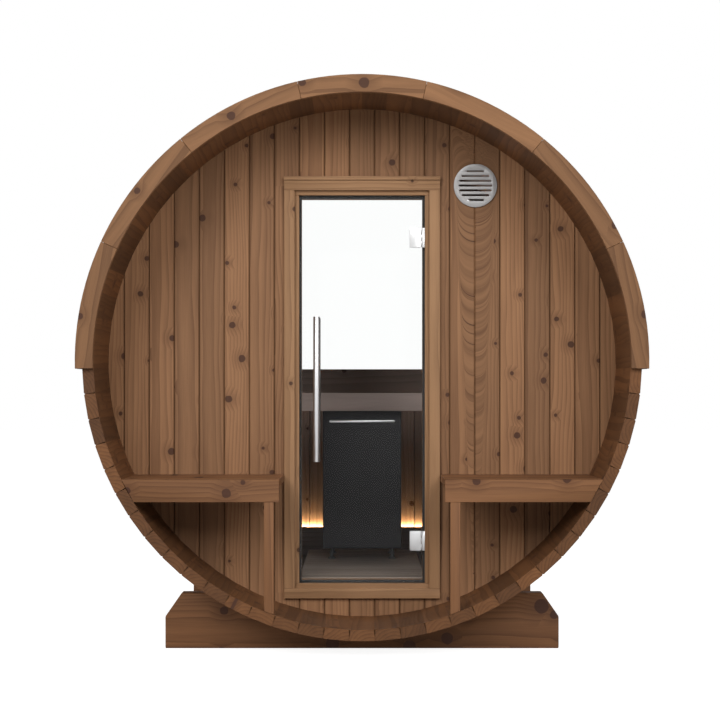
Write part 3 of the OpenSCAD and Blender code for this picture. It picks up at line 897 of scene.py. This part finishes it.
@dataclass
class DoorSet:
    """The door frame with its casings and seal, the glass door and its fittings."""

    def build(self) -> None:
        """Eases and dresses every piece of the door set."""
        grains = {
            "frame_jamb_left": Axis.Z,
            "frame_jamb_right": Axis.Z,
            "frame_head": Axis.X,
            "frame_sill": Axis.X,
            "casing_left": Axis.Z,
            "casing_right": Axis.Z,
            "casing_head": Axis.X,
            "casing_sill": Axis.X,
        }
        for node, grain in grains.items():
            piece = softened(node, 0.002)
            grain_of(piece, node, grain)
            hand_over(piece, TRIM, Body.CABIN, node)
        dress("door_seal", SEAL)
        hand_over(softened("frame_hinge_leaves", 0.0006), STEEL, Body.CABIN, "frame_hinge_leaves")
        hand_over(softened("door_hinge_leaves", 0.0008), STEEL, Body.DOOR, "door_hinge_leaves")
        hand_over(pane_of("door_glass"), PANE, Body.DOOR, "door_glass")
        hand_over(softened("door_handle", 0.0025), STEEL, Body.DOOR, "door_handle")


# -------------------------------------------------------------------- porch


@dataclass
class Porch:
    """The two porch benches and the two cradles."""

    barrel: Barrel
    slats: int = 4
    gap: float = 0.006
    board_t: float = 0.028

    def build_bench(self, side: str) -> None:
        """Builds one bench seat of a front board and slats, cut to the barrel."""
        node = "bench_seat_" + side
        low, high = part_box(node)
        parts = [board("apron", node + " apron", low, (high.x, low.y + self.board_t, high.z), Axis.X, 0.002)]
        start = low.y + self.board_t + 0.001
        width = (high.y - start + self.gap) / self.slats
        for number in range(self.slats):
            y = start + number * width
            corner = (low.x, y, high.z - self.board_t)
            parts.append(board("slat", f"{node} {number}", corner, (high.x, y + width - self.gap, high.z), Axis.X, 0.002))
        sign = 1 if side == "right" else -1
        radius = self.barrel.inner - 0.0005
        for part in parts:
            bottom = min(v.co.z for v in part.data.vertices)
            heights = (bottom, high.z)
            ends = [Vector((sign * math.sqrt(radius**2 - (z - self.barrel.axis) ** 2), 0, z)) for z in heights]
            along = ends[1] - ends[0]
            cut_off(part, ends[0], Vector((along.z, 0, -along.x)) * sign)
        hand_over(join_as(node + "_boards", parts), BENCH, Body.CABIN, node)
        leg = softened("bench_leg_" + side, 0.002)
        grain_of(leg, "leg " + side, Axis.Z)
        hand_over(leg, BENCH, Body.CABIN, "bench_leg_" + side)

    def build(self) -> None:
        """Builds the benches and eases the cradles."""
        for side in ("left", "right"):
            self.build_bench(side)
        for node in ("cradle_front", "cradle_rear"):
            piece = softened(node, 0.004)
            grain_of(piece, node, Axis.X)
            hand_over(piece, CRADLE, Body.CABIN, node)


# ------------------------------------------------------------------- inside


@dataclass
class Interior:
    """The floor, the rear ledge with its light, the heater and the rear pane."""

    stones: int = 46
    stone_size: float = 0.038

    def build_floor(self) -> None:
        """Eases the duckboard, its grain along the slats."""
        piece = softened("floor_duckboard", 0.002)
        grain_of(piece, "duckboard", Axis.X)
        slat = 0.09885
        tone = piece.data.attributes["tone"].data
        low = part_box("floor_duckboard")[0].y
        tones = [random.Random(f"slat {i}").random() for i in range(32)]
        for vertex in piece.data.vertices:
            tone[vertex.index].value = tones[int((vertex.co.y - low + 0.004) / slat)]
        hand_over(piece, FLOOR, Body.CABIN, "floor_duckboard")

    def build_stones(self) -> None:
        """Heaps broken stones on the heater, copied from a few shapes."""
        low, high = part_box("heater_stones")
        draw = random.Random(71)
        shapes = []
        for number in range(5):
            bpy.ops.object.select_all(action="DESELECT")
            bpy.ops.mesh.primitive_ico_sphere_add(subdivisions=2, radius=1)
            stone = bpy.context.active_object
            bpy.ops.object.mode_set(mode="EDIT")
            bpy.ops.mesh.select_all(action="SELECT")
            bpy.ops.transform.vertex_random(offset=0.22, seed=number)
            bpy.ops.object.mode_set(mode="OBJECT")
            shapes.append(stone)
        parts = []
        for number in range(self.stones):
            stone = twin_of(shapes[number % 5], f"stone_{number}")
            size = self.stone_size * draw.uniform(0.75, 1.0)
            x = draw.uniform(low.x + size, high.x - size)
            y = draw.uniform(low.y + size, high.y - size)
            rim = min(x - low.x, high.x - x, y - low.y, high.y - y)
            top = high.z - 0.045 + min(rim, 0.09) * 0.45 - size
            shape = Matrix.Diagonal((size, size * 0.85, size * 0.7, 1))
            turn = Matrix.Rotation(draw.uniform(0, 6), 4, "Z") @ Matrix.Rotation(draw.uniform(0, 6), 4, "X")
            stone.data.transform(Matrix.Translation((x, y, top - draw.uniform(0, 0.012))) @ turn @ shape)
            parts.append(stone)
        for shape in shapes:
            bpy.data.objects.remove(shape)
        bed = add_block("bed", low, (high.x, high.y, high.z - 0.075))
        piece = join_as("heater_stone_heap", [*parts, bed])
        hand_over(piece, STONE, Body.CABIN, "heater_stones")

    def build(self) -> None:
        """Builds everything inside the cabin."""
        self.build_floor()
        for node in ("rear_ledge", "heater_guard"):
            piece = softened(node, 0.002)
            grain_of(piece, node, Axis.X)
            # The heater guard takes the painted-light copy of the rear wood.
            hand_over(piece, GUARD_LIT if node == "heater_guard" else REAR, Body.CABIN, node)
        dress("light_strip", GLOW)
        hand_over(softened("heater_cabinet", 0.004), ENAMEL, Body.CABIN, "heater_cabinet")
        hand_over(softened("heater_feet", 0.0008), FOOT, Body.CABIN, "heater_feet")
        hand_over(softened("heater_trim", 0.001), TRIM_BAR, Body.CABIN, "heater_trim")
        hand_over(pane_of("rear_window_glass"), PANE, Body.CABIN, "rear_window_glass")
        self.build_stones()


# ------------------------------------------------------------------- studio


@dataclass
class Studio:
    """The pale floor, the soft lamps, the white surroundings and the camera."""

    eye: Vector = Vector((0.0, -8.593, 1.019))
    lens: float = 100.75
    shift: tuple = (-0.00285, 0.0389)

    def lamp(
        self, name: str, place: Vector, aim: Vector, size: float, power: float, depth: float = 0, tint: Colour = (1, 1, 1)
    ) -> None:
        """Hangs a soft lamp that points at a place.

        Args:
            name: The lamp's name.
            place: Where it hangs.
            aim: What it points at.
            size: Its width.
            power: Its power in watts.
            depth: Its other width, or zero for a square lamp.
            tint: Its colour.
        """
        data = bpy.data.lights.new(name, "AREA")
        data.size, data.energy, data.color = size, power, tint
        if depth:
            data.shape, data.size_y = "RECTANGLE", depth
        lamp = bpy.data.objects.new(name, data)
        lamp.location = place
        lamp.rotation_euler = (Vector(aim) - Vector(place)).to_track_quat("-Z", "Y").to_euler()
        bpy.context.scene.collection.objects.link(lamp)

    def seen(self, bench: NodeBench) -> bpy.types.NodeSocket:
        """Returns 1 for rays from the camera, straight, mirrored or through glass."""
        path = bench.add("LightPath")
        straight = bench.maths("MAXIMUM", path.outputs["Is Camera Ray"], path.outputs["Is Glossy Ray"])
        return bench.maths("MAXIMUM", straight, path.outputs["Is Transmission Ray"])

    def build_floor(self) -> None:
        """Lays the pale floor, which keeps the object's shadow."""
        bpy.ops.object.select_all(action="DESELECT")
        bpy.ops.mesh.primitive_plane_add(size=80, location=(0, 0, 0))
        floor = bpy.context.active_object
        floor.name = "studio_floor"
        bench = NodeBench("studio_floor")
        matt = bench.add("BsdfDiffuse", {"Color": (0.5, 0.5, 0.5, 1)})
        lift = bench.maths("MULTIPLY", self.seen(bench), 0.9)
        shine = bench.add("Emission", {"Color": (1, 1, 1, 1), "Strength": lift})
        both = bench.add("AddShader", {0: matt.outputs[0], 1: shine.outputs[0]})
        bench.tree.links.new(both.outputs[0], bench.output.inputs[0])
        floor.data.materials.append(bench.material)

    def build_world(self) -> None:
        """Makes the surroundings white to the eye and a soft, dimmer light on the object."""
        world = bpy.data.worlds.new("studio")
        bpy.context.scene.world = world
        world.use_nodes = True
        tree = world.node_tree
        tree.nodes.clear()
        path = tree.nodes.new("ShaderNodeLightPath")
        first = tree.nodes.new("ShaderNodeMath")
        second = tree.nodes.new("ShaderNodeMath")
        first.operation = second.operation = "MAXIMUM"
        tree.links.new(path.outputs["Is Camera Ray"], first.inputs[0])
        tree.links.new(path.outputs["Is Glossy Ray"], first.inputs[1])
        tree.links.new(first.outputs[0], second.inputs[0])
        tree.links.new(path.outputs["Is Transmission Ray"], second.inputs[1])
        level = tree.nodes.new("ShaderNodeMapRange")
        level.inputs[3].default_value, level.inputs[4].default_value = 0.22, 1.0
        tree.links.new(second.outputs[0], level.inputs[0])
        back = tree.nodes.new("ShaderNodeBackground")
        back.inputs[0].default_value = (1, 1, 1, 1)
        tree.links.new(level.outputs[0], back.inputs[1])
        out = tree.nodes.new("ShaderNodeOutputWorld")
        tree.links.new(back.outputs[0], out.inputs[0])

    def build(self) -> None:
        """Sets up the floor, the light, the camera and the plain view."""
        self.build_floor()
        self.build_world()
        self.lamp("key", (-2.7, -7.0, 3.8), (0, 0, 1.0), 3.0, 262)
        self.lamp("fill", (2.7, -7.0, 3.8), (0, 0, 1.0), 3.0, 208)
        low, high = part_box("light_strip")
        strip = (low + high) / 2
        over = Vector((0, strip.y - 0.002, high.z + 0.004))
        self.lamp("strip", over, over + Vector((0, 0.6, 0.5)), 1.06, 5.5, 0.008, (1, 0.62, 0.27))
        self.lamp("top", (0, 0.5, 5.5), (0, 0, 0), 4.0, 60)
        data = bpy.data.cameras.new("camera")
        data.lens, data.sensor_width = self.lens, 36.0
        data.shift_x, data.shift_y = self.shift
        camera = bpy.data.objects.new("camera", data)
        camera.location = self.eye
        camera.rotation_euler = (math.pi / 2, 0, 0)
        bpy.context.scene.collection.objects.link(camera)
        bpy.context.scene.camera = camera
        bpy.context.scene.view_settings.view_transform = "Standard"


def main() -> None:
    """Builds the cabin part by part."""
    barrel = Barrel()
    for made in (barrel, EndWalls(barrel), DoorSet(), Porch(barrel), Interior(), Studio()):
        made.build()
        log.info("%s is built", type(made).__name__)


if __name__ == "__main__":
    main()
